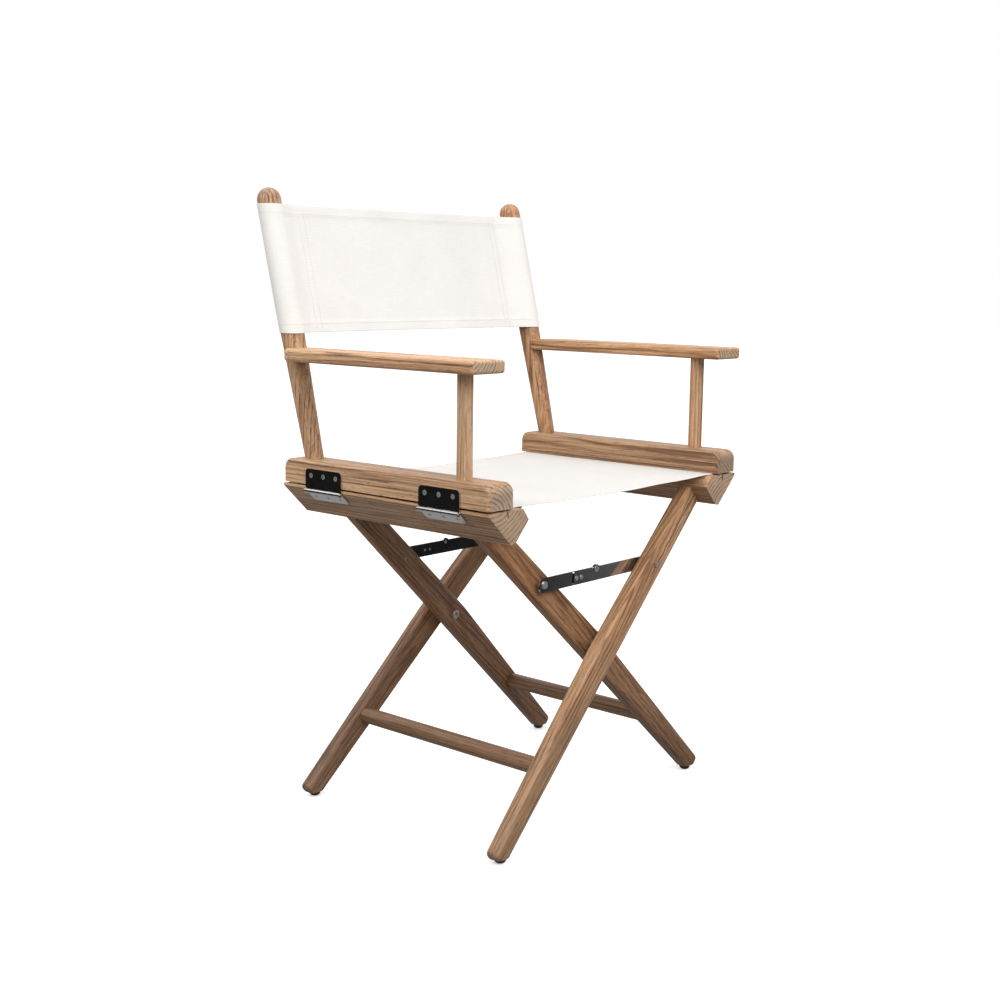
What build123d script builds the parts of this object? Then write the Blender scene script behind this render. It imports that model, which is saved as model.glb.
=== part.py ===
"""Folding director chair: X-frame of timber legs, canvas seat and back, steel hinges and stays.

Frame: origin on the floor under the middle of the overall box, +X to the sitter's left,
front of the chair toward -Y, +Z up. Millimetres. Frame A carries the left seat rail,
frame B (nested inside A) carries the right one.
"""
from math import cos, radians, sin, tan
import os

from build123d import *

# ---- overall size -------------------------------------------------------
WIDTH = 584.2
DEPTH = 444.5
HEIGHT = 850.9
FRONT_Y = -DEPTH / 2
BACK_Y = DEPTH / 2

# ---- fits ---------------------------------------------------------------
PIN_CLEARANCE = 0.08
PART_GAP = 0.3
LEG_PLAY = 0.55

# ---- crossed legs -------------------------------------------------------
PIVOT_Z = 235.0
LEG_ANGLE = 42.6
LEG_THICKNESS = 20.0
LEG_BELOW_AXIS = 19.0
LEG_ABOVE_AXIS_TOP = 16.0
LEG_ABOVE_AXIS_CROSSING = 22.0
LEG_ABOVE_AXIS_FOOT = 7.5
LEG_WIDEST_AT = -15.0
LEG_EDGE_RADIUS = 5.0
LEG_FRAME_GAP = 11.5
LEG_RECESS = 16.0
LEG_SPLAY = 2.6
PIVOT_RADIUS = 3.5
PIVOT_HEAD_RADIUS = 6.5
PIVOT_HEAD = 3.0
PIVOT_SPACER_RADIUS = 9.0
PIVOT_BLIND_WALL = 4.0
FOOT_CLIP_Z = 7.0
FOOT_CLIP_LENGTH = 22.0
FOOT_CORNER_RADIUS = 7.0
PAD_RADIUS = 8.0
PAD_PLUG_RADIUS = 3.0
PAD_PLUG_DEPTH = 9.0

# ---- seat rails ---------------------------------------------------------
RAIL_LENGTH = 376.0
RAIL_TOP_Z = 454.0
RAIL_OUTER_X = 271.4
RAIL_OUTER_FACE = 3.5
RAIL_FACE_WIDTH = 37.0
RAIL_TOE = (222.2, 412.3)
RAIL_HEEL = (229.9, 410.4)
RAIL_EDGE_RADIUS = 2.0
GROOVE_X = 238.0
GROOVE_HOLE_RADIUS = 3.4
GROOVE_HOLE_DEPTH = 6.8
GROOVE_SLOT_WIDTH = 2.8

# ---- arm assemblies -----------------------------------------------------
BASE_GAP = 2.5
BASE_HEIGHT = 32.0
BASE_THICKNESS = 46.4
BASE_END_RADIUS = 13.0
BASE_EDGE_RADIUS = 5.0
ARM_WIDTH = 61.0
ARM_THICKNESS = 16.5
ARM_BOTTOM_Z = 620.5
ARM_FRONT_Y = -212.0
ARM_BACK_Y = 145.0
ARM_OUTER_CORNER = 30.0
ARM_CORNER = 6.0
ARM_EDGE_RADIUS = 4.0
FRONT_POST_X = 251.7
FRONT_POST_Y = -163.3
FRONT_POST_SIDE = 16.0
BACK_POST_BASE = (247.0, 118.0)
BACK_POST_TIP_X = 249.2
BACK_POST_SETBACK = 16.95
BACK_POST_RADIUS = 16.3
BACK_POST_BASE_RADIUS = 12.4
BACK_POST_TAPER_END_Z = 665.0
TENON_DEPTH = 14.0
POST_TENON_RADIUS = 8.0
POST_DOWEL_RADIUS = 5.0

# ---- stretchers ---------------------------------------------------------
STRETCHER_RADIUS = 11.5
STRETCHER_Z = 102.0
STRETCHER_SOCKET = 8.0

# ---- folding stays ------------------------------------------------------
STAY_Z = 336.0
STAY_HEIGHT = 19.0
STAY_THICKNESS = 2.4
STAY_PLATE_THICKNESS = 1.6
STAY_PIVOT_RISE = 6.5
STAY_BUTT_X = -27.0
STAY_BUTT_GAP = 0.8
STAY_PIN_RADIUS = 2.5
STAY_HEAD_RADIUS = 5.0
STAY_EAR_RADIUS = 6.2
STAY_RIVETS_X = (-44.0, -34.0)
STAY_RIVET_RADIUS = 1.8

# ---- hinges -------------------------------------------------------------
HINGE_LENGTH = 70.0
HINGE_OFFSET = 106.0
HINGE_PLATE = 2.0
HINGE_PIN_RADIUS = 1.5
KNUCKLE_RADIUS = 3.0
KNUCKLES = 5
KNUCKLE_GAP = 0.3
HINGE_PIN_DROP = 5.5
UPPER_LEAF_RISE = 22.0
LOWER_LEAF_LENGTH = 22.0
LEAF_CORNER = 6.0
SCREW_RADIUS = 3.4
SCREW_SPACING = 24.0
SCREW_LENGTH = 14.0
UPPER_SCREW_RISE = 13.0
LOWER_SCREW_DROP = 12.0
LEAF_LIFT = 0.05

# ---- canvas -------------------------------------------------------------
CANVAS_THICKNESS = 1.9
SEAT_FRONT_Y = -213.0
SEAT_BACK_Y = 144.0
SEAT_ROD_RADIUS = 2.6
BACK_TOP_Z = 829.0
BACK_BOTTOM_Z = 656.0
SLEEVE_WALL = 1.2

# ---- worked out ---------------------------------------------------------
LEG_COS = cos(radians(LEG_ANGLE))
LEG_SIN = sin(radians(LEG_ANGLE))
RAIL_BACK_Y = FRONT_Y + RAIL_LENGTH
RAIL_MID_Y = (FRONT_Y + RAIL_BACK_Y) / 2
BASE_BOTTOM_Z = RAIL_TOP_Z + BASE_GAP
BASE_TOP_Z = BASE_BOTTOM_Z + BASE_HEIGHT
BASE_INNER_X = RAIL_OUTER_X - BASE_THICKNESS
ARM_OUTER_X = WIDTH / 2
PIN_X = RAIL_OUTER_X + KNUCKLE_RADIUS + PART_GAP
PIN_Z = RAIL_TOP_Z - HINGE_PIN_DROP
MID_PLANE = Plane((0, RAIL_MID_Y, 0), z_dir=(0, 1, 0))
HINGE_MIDS = {"front": RAIL_MID_Y - HINGE_OFFSET, "rear": RAIL_MID_Y + HINGE_OFFSET}
BACK_POST_TIP_Y = BACK_Y - BACK_POST_SETBACK
BACK_POST_AXIS_TOP_Z = HEIGHT - BACK_POST_RADIUS

LEFT, RIGHT = 1, -1
SIDES = {"left": LEFT, "right": RIGHT}


def side_slab(outline, y_front, y_back):
    """Extrude an outline given as (x, z) points from y_front to y_back."""
    plane = Plane((0, y_back, 0), x_dir=(1, 0, 0), z_dir=(0, -1, 0))
    return extrude(plane * make_face(Polyline(outline, close=True)), y_back - y_front)


def rod_y(x, z, radius, y_front, y_back):
    """A cylinder along Y."""
    plane = Plane((x, y_front, z), z_dir=(0, 1, 0))
    return extrude(plane * Circle(radius), y_back - y_front)


def leg_point(along, across):
    """A point of frame A's leg plane: along the leg from the pivot, across it upward."""
    x = along * LEG_COS - across * LEG_SIN
    z = PIVOT_Z + along * LEG_SIN + across * LEG_COS
    return (x, z)


def for_side(shape, side):
    """Frame A shapes are built on the left; frame B mirrors them to the right."""
    return shape if side == LEFT else mirror(shape, Plane.YZ)


# ---- leg planes: the front face of each leg, where the legs cross --------
A_FRONT = FRONT_Y + LEG_RECESS
B_FRONT = A_FRONT + LEG_THICKNESS + LEG_FRAME_GAP
A_REAR = 2 * RAIL_MID_Y - A_FRONT - LEG_THICKNESS
B_REAR = 2 * RAIL_MID_Y - B_FRONT - LEG_THICKNESS
LEG_FRONT_FACE = {"a_front": A_FRONT, "a_rear": A_REAR, "b_front": B_FRONT, "b_rear": B_REAR}
FRAME_SIDE = {"a": LEFT, "b": RIGHT}

TOE_ALONG = RAIL_TOE[0] * LEG_COS + (RAIL_TOE[1] - PIVOT_Z) * LEG_SIN
FOOT_ALONG = (FOOT_CLIP_Z - PIVOT_Z + LEG_BELOW_AXIS * LEG_COS) / LEG_SIN
FOOT_END = FOOT_ALONG - FOOT_CLIP_LENGTH * LEG_COS
FOOT_END_ACROSS = -LEG_BELOW_AXIS + FOOT_CLIP_LENGTH * LEG_SIN
PAD_X = leg_point(FOOT_ALONG, -LEG_BELOW_AXIS)[0] - 0.45 * FOOT_CLIP_LENGTH
STAY_ALONG = (STAY_Z - PIVOT_Z) / LEG_SIN
STAY_X = leg_point(STAY_ALONG, 0)[0]
STRETCHER_ALONG = (STRETCHER_Z - PIVOT_Z) / LEG_SIN
STRETCHER_X = leg_point(STRETCHER_ALONG, -2.6)[0]
TENON_ALONG = TOE_ALONG + TENON_DEPTH
TRIM = 1.0


def inward(name):
    """+1 for what faces the chair's middle along +Y, so the front legs, and -1 for the rear."""
    return 1 if name.endswith("front") else -1


def splay_shift(name, along):
    """How far along Y a leg's middle stands from where it crosses, at a distance up the leg."""
    return inward(name) * along * tan(radians(LEG_SPLAY))


def splayed(shape, name):
    """Tip a leg about its crossing: the front and rear legs stand wider apart at the feet."""
    middle = LEG_FRONT_FACE[name] + LEG_THICKNESS / 2
    across = Axis((0, middle, PIVOT_Z), (-LEG_SIN, 0, LEG_COS))
    return shape.rotate(across, inward(name) * LEG_SPLAY)


def tenon(name):
    """The leg's tenon, set into the face of the rail that the leg meets squarely."""
    corners = [
        leg_point(TOE_ALONG - 2, -13),
        leg_point(TENON_ALONG, -13),
        leg_point(TENON_ALONG, 9),
        leg_point(TOE_ALONG - 2, 9),
    ]
    y_face = LEG_FRONT_FACE[name]
    return splayed(side_slab(corners, y_face + 5, y_face + LEG_THICKNESS - 5), name)


def beyond_rail_face(y_face):
    """Everything past the face of the rail that a leg ends on."""
    corners = [
        leg_point(TOE_ALONG, -60),
        leg_point(TOE_ALONG + 60, -60),
        leg_point(TOE_ALONG + 60, 60),
        leg_point(TOE_ALONG, 60),
    ]
    return side_slab(corners, y_face - 50, y_face + 50 + LEG_THICKNESS)


def leg_blank(y_face):
    """A leg a little too long at both ends, its long edges rounded."""
    foot_corner = leg_point(FOOT_END - TRIM, LEG_ABOVE_AXIS_FOOT)
    outline = [
        leg_point(FOOT_ALONG - TRIM, -LEG_BELOW_AXIS),
        leg_point(TOE_ALONG + TRIM, -LEG_BELOW_AXIS),
        leg_point(TOE_ALONG + TRIM, LEG_ABOVE_AXIS_TOP),
        leg_point(LEG_WIDEST_AT, LEG_ABOVE_AXIS_CROSSING),
        foot_corner,
        leg_point(FOOT_END - TRIM, FOOT_END_ACROSS),
    ]
    blank = side_slab(outline, y_face, y_face + LEG_THICKNESS)
    foot_edges = blank.edges().filter_by(Axis.Y)
    corner_edge = foot_edges.sort_by_distance((foot_corner[0], 0, foot_corner[1]))[0]
    blank = fillet(corner_edge, FOOT_CORNER_RADIUS)
    long_edges = [
        edge
        for edge in blank.edges()
        if edge.length > 150 and abs((edge @ 0).Y - (edge @ 1).Y) < 0.1
    ]
    return fillet(long_edges, LEG_EDGE_RADIUS)


def pivot_hole(name, y_face):
    """The crossing bore: through a B leg, blind from the inner face of an A leg."""
    y_low, y_high = y_face - 1, y_face + LEG_THICKNESS + 1
    if name == "a_front":
        y_low += PIVOT_BLIND_WALL
    if name == "a_rear":
        y_high -= PIVOT_BLIND_WALL
    return rod_y(0, PIVOT_Z, PIVOT_RADIUS + PIN_CLEARANCE, y_low, y_high)


def make_leg(name, y_face):
    leg = splayed(leg_blank(y_face), name) - beyond_rail_face(y_face) - below(FOOT_CLIP_Z)
    leg += tenon(name)
    inner_face = y_face + LEG_THICKNESS / 2 + inward(name) * LEG_THICKNESS / 2
    socket_face = inner_face + splay_shift(name, STRETCHER_ALONG)
    socket = sorted((socket_face - inward(name) * STRETCHER_SOCKET, socket_face + inward(name) * 5))
    leg -= rod_y(STRETCHER_X, STRETCHER_Z, STRETCHER_RADIUS, *socket)
    leg -= pivot_hole(name, y_face)
    leg -= rod_y(STAY_X, STAY_Z, STAY_PIN_RADIUS, y_face - 20, y_face + LEG_THICKNESS + 20)
    pad_y = y_face + LEG_THICKNESS / 2 + splay_shift(name, FOOT_ALONG)
    return leg - Pos(PAD_X, pad_y, FOOT_CLIP_Z) * Cylinder(PAD_PLUG_RADIUS, PAD_PLUG_DEPTH * 2)


def make_legs():
    return {
        "leg_" + name: for_side(make_leg(name, y_face), FRAME_SIDE[name[0]])
        for name, y_face in LEG_FRONT_FACE.items()
    }


def make_pivots():
    """Cap screws on the crossing, with a spacer disc between the two legs."""
    head_y = B_FRONT + LEG_THICKNESS + LEG_PLAY
    shank = rod_y(0, PIVOT_Z, PIVOT_RADIUS, A_FRONT + PIVOT_BLIND_WALL, head_y)
    head = rod_y(0, PIVOT_Z, PIVOT_HEAD_RADIUS, head_y, head_y + PIVOT_HEAD)
    head = fillet(head.faces().sort_by(Axis.Y)[-1].edges(), 1.6)
    top = Plane((0, head_y + PIVOT_HEAD, PIVOT_Z), z_dir=(0, 1, 0))
    bolt = shank + head - extrude(top * RegularPolygon(2.4, 6), -1.8)
    gap_low = A_FRONT + LEG_THICKNESS
    gap_high = gap_low + LEG_FRAME_GAP
    spacer = rod_y(0, PIVOT_Z, PIVOT_SPACER_RADIUS, gap_low + LEG_PLAY, gap_high - LEG_PLAY)
    spacer -= rod_y(0, PIVOT_Z, PIVOT_RADIUS, gap_low, gap_high)
    return {
        "pivot_bolt_front": bolt,
        "pivot_bolt_rear": mirror(bolt, MID_PLANE),
        "pivot_spacer_front": spacer,
        "pivot_spacer_rear": mirror(spacer, MID_PLANE),
    }


def rail_outline():
    """Section of the left rail: a bar turned on edge, flat on top, square to the legs below."""
    inner = (RAIL_TOE[0] - RAIL_FACE_WIDTH * LEG_SIN, RAIL_TOE[1] + RAIL_FACE_WIDTH * LEG_COS)
    chamfer = RAIL_TOP_Z - inner[1]
    return [
        (RAIL_OUTER_X, RAIL_TOP_Z),
        (inner[0] + chamfer * 0.75, RAIL_TOP_Z),
        inner,
        RAIL_TOE,
        RAIL_HEEL,
        (RAIL_OUTER_X, RAIL_TOP_Z - RAIL_OUTER_FACE),
    ]


def cheek_plane(y):
    """Plane on the rail's long outer cheek: x along the chair, y up the slope, z outward."""
    top = (RAIL_OUTER_X, RAIL_TOP_Z - RAIL_OUTER_FACE)
    down = (RAIL_HEEL[0] - top[0], RAIL_HEEL[1] - top[1])
    outward = (-down[1], 0, down[0])
    return Plane((top[0], y, top[1]), x_dir=(0, 1, 0), z_dir=outward)


def upper_leaf_plane(y):
    """Plane on the arm base's outer face, at its bottom edge: x along the chair, y up."""
    return Plane((RAIL_OUTER_X, y, BASE_BOTTOM_Z), x_dir=(0, 1, 0), z_dir=(1, 0, 0))


def screw(plane):
    """A countersunk screw whose head is flush with the plane, its shank going inward."""
    head = loft([plane * Circle(SCREW_RADIUS), plane.offset(-1.9) * Circle(SCREW_RADIUS * 0.45)])
    shank = extrude(plane * Circle(SCREW_RADIUS * 0.45), -SCREW_LENGTH)
    return head + shank


def cross_recess(plane):
    cross = Rectangle(3.6, 0.9) + Rectangle(0.9, 3.6)
    return extrude(plane * cross, -0.9)


def screw_planes(surface, across):
    """The three screw positions of a leaf, on its outer surface."""
    outer = surface.offset(LEAF_LIFT + HINGE_PLATE)
    return [Plane(outer.location * Pos(step * SCREW_SPACING, across, 0)) for step in (-1, 0, 1)]


def upper_screw_planes(y_mid):
    return screw_planes(upper_leaf_plane(y_mid), UPPER_SCREW_RISE)


def lower_screw_planes(y_mid):
    return screw_planes(cheek_plane(y_mid), -LOWER_SCREW_DROP)


def rail_blank():
    blank = side_slab(rail_outline(), FRONT_Y, RAIL_BACK_Y)
    long_edges = blank.edges().filter_by(Axis.Y).sort_by(Axis.Z)
    blank = fillet(long_edges[:3], RAIL_EDGE_RADIUS)
    hole_z = RAIL_TOP_Z - GROOVE_HOLE_DEPTH
    blank -= rod_y(GROOVE_X, hole_z, GROOVE_HOLE_RADIUS, FRONT_Y, RAIL_BACK_Y)
    blank -= Pos(GROOVE_X, RAIL_MID_Y, RAIL_TOP_Z - GROOVE_HOLE_DEPTH / 2) * Box(
        GROOVE_SLOT_WIDTH, RAIL_LENGTH, GROOVE_HOLE_DEPTH + 0.02
    )
    return blank


def make_rails():
    rails = {}
    drilled = rail_blank()
    for y_mid in HINGE_MIDS.values():
        for plane in lower_screw_planes(y_mid):
            drilled -= screw(plane)
    for name, side in SIDES.items():
        rail = drilled
        for leg in LEG_FRONT_FACE:
            if FRAME_SIDE[leg[0]] == side:
                rail -= tenon(leg)
        rails["seat_rail_" + name] = for_side(rail, side)
    return rails


def stretcher(front_face):
    """A round rail between the inner faces of a frame's two legs, sunk into both."""
    front_end = front_face + LEG_THICKNESS + splay_shift("front", STRETCHER_ALONG) - STRETCHER_SOCKET
    rear_end = 2 * RAIL_MID_Y - front_end
    return rod_y(STRETCHER_X, STRETCHER_Z, STRETCHER_RADIUS, front_end, rear_end)


def make_stretchers():
    return {"stretcher_a": stretcher(A_FRONT), "stretcher_b": for_side(stretcher(B_FRONT), RIGHT)}


def make_pads():
    """Domed rubber pads under the clipped corners, each with a plug into the leg."""
    pads = {}
    for name, y_face in LEG_FRONT_FACE.items():
        dome = Pos(0, 0, FOOT_CLIP_Z / 2) * Cylinder(PAD_RADIUS, FOOT_CLIP_Z)
        dome = fillet(dome.edges().sort_by(Axis.Z)[0], FOOT_CLIP_Z * 0.8)
        plug = Pos(0, 0, FOOT_CLIP_Z + PAD_PLUG_DEPTH / 2 - 0.5) * Cylinder(
            PAD_PLUG_RADIUS, PAD_PLUG_DEPTH - 1.0
        )
        pad_y = y_face + LEG_THICKNESS / 2 + splay_shift(name, FOOT_ALONG)
        pad = Pos(PAD_X, pad_y, 0) * (dome + plug)
        pads["foot_pad_" + name] = for_side(pad, FRAME_SIDE[name[0]])
    return pads


def capsule(x_low, x_high, z_mid, height, y_front, y_back):
    """A flat bar along X with rounded ends."""
    plane = Plane(((x_low + x_high) / 2, y_back, z_mid), x_dir=(1, 0, 0), z_dir=(0, -1, 0))
    length = x_high - x_low
    return extrude(plane * RectangleRounded(length, height, height * 0.3), y_back - y_front)


def make_stays():
    """Two-bar stays between the leg bands; the mid pin sits high so they only fold downward."""
    pin_z = STAY_Z + STAY_PIVOT_RISE
    half = STAY_HEIGHT / 2
    band = A_FRONT + LEG_THICKNESS + splay_shift("front", STAY_ALONG)
    b_face = band + LEG_FRAME_GAP
    plate_y = band + 0.75
    bar_y = plate_y + STAY_PLATE_THICKNESS + 0.05
    bar_back = bar_y + STAY_THICKNESS
    loose = STAY_PIN_RADIUS + PIN_CLEARANCE

    bar_b = capsule(-STAY_X - half, STAY_BUTT_X + 8, STAY_Z, STAY_HEIGHT, bar_y, bar_back)
    bar_b -= Pos(STAY_BUTT_X + 10, bar_y, STAY_Z) * Box(20, 20, 2 * STAY_HEIGHT)
    bar_b -= rod_y(-STAY_X, STAY_Z, loose, bar_y - 1, bar_back + 1)
    bar_a = capsule(STAY_BUTT_X - 8, STAY_X + half, STAY_Z, STAY_HEIGHT, bar_y, bar_back)
    bar_a -= Pos(STAY_BUTT_X + STAY_BUTT_GAP - 10, bar_y, STAY_Z) * Box(20, 20, 2 * STAY_HEIGHT)
    bar_a += rod_y(0, pin_z, STAY_EAR_RADIUS, bar_y, bar_back)
    bar_a -= rod_y(STAY_X, STAY_Z, STAY_PIN_RADIUS, bar_y - 1, bar_back + 1)
    bar_a -= rod_y(0, pin_z, loose, bar_y - 1, bar_back + 1)

    plate_plane = Plane((-20.5, bar_y - 0.05, STAY_Z), x_dir=(1, 0, 0), z_dir=(0, -1, 0))
    plate = extrude(plate_plane * RectangleRounded(59, STAY_HEIGHT - 1, 3), STAY_PLATE_THICKNESS)
    plate += rod_y(0, pin_z, STAY_EAR_RADIUS, plate_y, bar_y - 0.05)
    plate -= rod_y(0, pin_z, STAY_PIN_RADIUS, plate_y - 1, bar_y)
    mid_pin = rod_y(0, pin_z, STAY_PIN_RADIUS, plate_y - 0.1, bar_back)
    mid_pin += rod_y(0, pin_z, STAY_HEAD_RADIUS - 0.6, plate_y - 0.4, plate_y)
    rivets = []
    for rivet_x in STAY_RIVETS_X:
        shank = rod_y(rivet_x, STAY_Z, STAY_RIVET_RADIUS, plate_y, bar_back)
        rivets.append(shank + rod_y(rivet_x, STAY_Z, 3.2, plate_y - 0.4, plate_y))
        bar_b -= shank
        plate -= shank

    bolt_b = rod_y(-STAY_X, STAY_Z, STAY_PIN_RADIUS, bar_y - 1.35, b_face + LEG_THICKNESS - 0.5)
    bolt_b += rod_y(-STAY_X, STAY_Z, STAY_HEAD_RADIUS, bar_y - 1.35, bar_y - 0.1)
    bolt_b += rod_y(-STAY_X, STAY_Z, STAY_HEAD_RADIUS, bar_back + 0.2, b_face - LEG_PLAY)
    rivet_a = rod_y(STAY_X, STAY_Z, STAY_PIN_RADIUS, bar_y, bar_back)
    rivet_a += rod_y(STAY_X, STAY_Z, STAY_HEAD_RADIUS, bar_y - 1.2, bar_y)
    outer_face = band - LEG_THICKNESS
    hexagon = Plane((STAY_X, outer_face - 0.2, STAY_Z), z_dir=(0, -1, 0)) * RegularPolygon(4.4, 6)
    bolt_a = rod_y(STAY_X, STAY_Z, STAY_PIN_RADIUS, outer_face - 0.8, band - 0.5)
    bolt_a += extrude(hexagon, 1.6)

    front = {
        "stay_bar_b_": bar_b,
        "stay_bar_a_": bar_a,
        "stay_lap_plate_": plate,
        "stay_mid_pin_": mid_pin,
        "stay_lap_rivets_": Compound(children=rivets),
        "stay_bolt_b_": bolt_b,
        "stay_rivet_a_": rivet_a,
        "stay_bolt_a_": bolt_a,
    }
    stays = {}
    for name, shape in front.items():
        stays[name + "front"] = shape
        stays[name + "rear"] = mirror(shape, MID_PLANE)
    return stays


def post_axis(z):
    """Centre of the left back post at height z."""
    share = (z - BASE_TOP_Z) / (BACK_POST_AXIS_TOP_Z - BASE_TOP_Z)
    x = BACK_POST_BASE[0] + share * (BACK_POST_TIP_X - BACK_POST_BASE[0])
    y = BACK_POST_BASE[1] + share * (BACK_POST_TIP_Y - BACK_POST_BASE[1])
    return Vector(x, y, z)


def post_plane(z):
    up = (post_axis(BACK_POST_AXIS_TOP_Z) - post_axis(BASE_TOP_Z)).normalized()
    return Plane(post_axis(z), x_dir=(1, 0, 0), z_dir=up)


def post_solid(extra=0.0):
    """The back post, tapered below the canvas, domed on top, with its tenon in the base."""
    lower = [
        post_plane(BASE_TOP_Z - 6) * Circle(BACK_POST_BASE_RADIUS + extra),
        post_plane(BACK_POST_TAPER_END_Z) * Circle(BACK_POST_RADIUS + extra),
    ]
    rise = (post_axis(BACK_POST_AXIS_TOP_Z) - post_axis(BACK_POST_TAPER_END_Z)).length
    shaft = loft(lower)
    shaft += extrude(post_plane(BACK_POST_TAPER_END_Z) * Circle(BACK_POST_RADIUS + extra), rise)
    dome = Pos(*post_axis(BACK_POST_AXIS_TOP_Z)) * Sphere(BACK_POST_RADIUS + extra)
    return shaft + dome


def post_sleeve(extra):
    """A tube's outline round the post over the height of the canvas."""
    low = post_plane(BACK_BOTTOM_Z - 30)
    rise = (post_axis(BACK_TOP_Z + 10) - post_axis(BACK_BOTTOM_Z - 30)).length
    return extrude(low * Circle(BACK_POST_RADIUS + extra), rise)


def post_tenon():
    plane = post_plane(BASE_TOP_Z)
    return extrude(plane * Circle(POST_TENON_RADIUS), -TENON_DEPTH) + extrude(
        plane * Circle(POST_TENON_RADIUS), 8
    )


def below(z):
    """Everything under a level, used to seat parts on a flat."""
    return Pos(0, 0, z - 500) * Box(2000, 2000, 1000)


def base_blank():
    mid_y = (FRONT_Y + RAIL_BACK_Y) / 2
    mid_x = (RAIL_OUTER_X + BASE_INNER_X) / 2
    mid_z = (BASE_TOP_Z + BASE_BOTTOM_Z) / 2
    blank = Pos(mid_x, mid_y, mid_z) * Box(BASE_THICKNESS, RAIL_LENGTH, BASE_HEIGHT)
    ends = blank.edges().filter_by(Axis.X).group_by(Axis.Z)[-1]
    blank = fillet(ends, BASE_END_RADIUS)
    rim = [edge for edge in blank.edges() if edge.center().Z > BASE_BOTTOM_Z + 12
           and not (abs((edge @ 0).X - (edge @ 1).X) > 1)]
    return fillet(rim, BASE_EDGE_RADIUS)


def arm_blank():
    mid_x = ARM_OUTER_X - ARM_WIDTH / 2
    mid_y = (ARM_FRONT_Y + ARM_BACK_Y) / 2
    plan = Rectangle(ARM_WIDTH, ARM_BACK_Y - ARM_FRONT_Y)
    corners = plan.vertices().group_by(Axis.Y)
    outer_back = corners[-1].sort_by(Axis.X)[-1]
    plan = fillet(outer_back, ARM_OUTER_CORNER)
    others = [c for c in plan.vertices() if abs(abs(c.X) - ARM_WIDTH / 2) < 0.01
              and abs(abs(c.Y) - (ARM_BACK_Y - ARM_FRONT_Y) / 2) < 0.01]
    plan = fillet(others, ARM_CORNER)
    blank = Pos(mid_x, mid_y, ARM_BOTTOM_Z) * extrude(plan, ARM_THICKNESS)
    rims = blank.edges().group_by(Axis.Z)
    return fillet(list(rims[0]) + list(rims[-1]), ARM_EDGE_RADIUS)


def make_arms():
    side = FRONT_POST_SIDE
    arms = {}
    post_height = ARM_BOTTOM_Z - BASE_TOP_Z
    post = Pos(FRONT_POST_X, FRONT_POST_Y, BASE_TOP_Z + post_height / 2) * Box(side, side, post_height)
    post = fillet(post.edges().filter_by(Axis.Z), 3.0)
    dowel = Pos(FRONT_POST_X, FRONT_POST_Y, (BASE_TOP_Z + ARM_BOTTOM_Z) / 2) * Cylinder(
        POST_DOWEL_RADIUS, post_height + 16
    )
    back_post = (post_solid() - below(BASE_TOP_Z)) + post_tenon()
    base = base_blank() - dowel - post_tenon()
    for y_mid in HINGE_MIDS.values():
        for plane in upper_screw_planes(y_mid):
            base -= screw(plane)
    arm = arm_blank() - dowel - post_solid(0.05)
    for name, sign in SIDES.items():
        arms["arm_base_" + name] = for_side(base, sign)
        arms["front_post_" + name] = for_side(post + dowel, sign)
        arms["back_post_" + name] = for_side(back_post, sign)
        arms["arm_" + name] = for_side(arm, sign)
    return arms


def make_hinge(y_mid):
    """Upper leaf, lower leaf and pin of one five-knuckle butt hinge on the left side."""
    y_low, y_high = y_mid - HINGE_LENGTH / 2, y_mid + HINGE_LENGTH / 2
    upper_face = Pos(0, UPPER_LEAF_RISE / 2 - 3) * Rectangle(HINGE_LENGTH, UPPER_LEAF_RISE + 6)
    upper_face = fillet(upper_face.vertices().group_by(Axis.Y)[-1], LEAF_CORNER)
    upper = extrude(upper_leaf_plane(y_mid).offset(LEAF_LIFT) * upper_face, HINGE_PLATE)
    lower_face = Pos(0, 1 - LOWER_LEAF_LENGTH / 2) * Rectangle(HINGE_LENGTH, LOWER_LEAF_LENGTH)
    lower_face = fillet(lower_face.vertices().group_by(Axis.Y)[0], LEAF_CORNER)
    lower = extrude(cheek_plane(y_mid).offset(LEAF_LIFT) * lower_face, HINGE_PLATE)
    step = HINGE_LENGTH / KNUCKLES
    for index in range(KNUCKLES):
        low = y_low + index * step
        barrel = rod_y(PIN_X, PIN_Z, KNUCKLE_RADIUS, low + KNUCKLE_GAP / 2, low + step - KNUCKLE_GAP / 2)
        room = rod_y(PIN_X, PIN_Z, KNUCKLE_RADIUS + 1, low - KNUCKLE_GAP / 2, low + step + KNUCKLE_GAP / 2)
        if index % 2 == 0:
            upper -= room
            lower += barrel
        else:
            lower -= room
            upper += barrel
    upper -= rod_y(PIN_X, PIN_Z, HINGE_PIN_RADIUS, y_low - 1, y_high + 1)
    lower -= rod_y(PIN_X, PIN_Z, HINGE_PIN_RADIUS + PIN_CLEARANCE, y_low - 1, y_high + 1)
    pin = rod_y(PIN_X, PIN_Z, HINGE_PIN_RADIUS, y_low - 0.6, y_high + 0.6)
    for plane in upper_screw_planes(y_mid):
        upper -= screw(plane)
    for plane in lower_screw_planes(y_mid):
        lower -= screw(plane)
    return upper, lower, pin


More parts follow.
